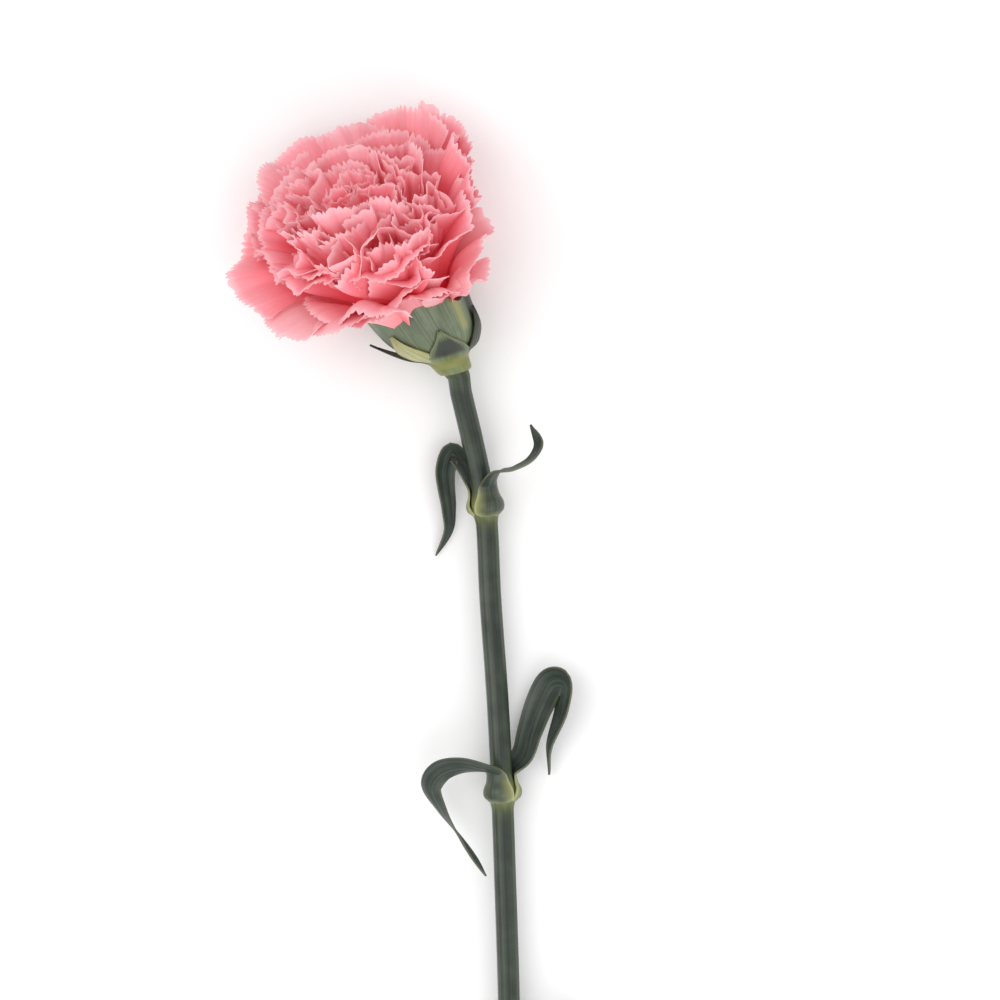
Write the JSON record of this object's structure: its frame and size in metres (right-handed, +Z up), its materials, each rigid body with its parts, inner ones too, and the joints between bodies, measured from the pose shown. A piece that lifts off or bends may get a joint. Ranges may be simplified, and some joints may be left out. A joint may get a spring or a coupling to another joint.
{
  "type": "cut carnation flower",
  "caption": "Cut carnation lying on its side: a ruffled double bloom in a cupped calyx on a jointed stem with three pairs of curling leaves.",
  "frame": {"origin": "on the surface the flower lies on, under the flat strip on the underside of the stem near its cut end", "axes": "+Y along the stem towards the bloom, +Z up, away from the surface; the bloom leans towards -X"},
  "size_m": [0.1042, 0.3334, 0.0567],
  "materials": {
    "stem": "waxy green stem with paler joints",
    "leaf": "waxy blue-green leaf",
    "calyx": "ribbed grey-green skin",
    "bract": "yellow-green with dark tips",
    "pistil": "pale green, smooth",
    "petal": "soft satin petal, paler at the toothed edge"
  },
  "bodies": {
    "root": {"stem": "stem", "leaf_top_right": "leaf", "leaf_top_left": "leaf", "leaf_middle_left": "leaf", "leaf_middle_right": "leaf", "leaf_bottom_left": "leaf", "leaf_bottom_right": "leaf", "calyx": "calyx", "epicalyx": "bract", "pistil": "pistil", "petals": "petal"}
  },
  "joints": []
}
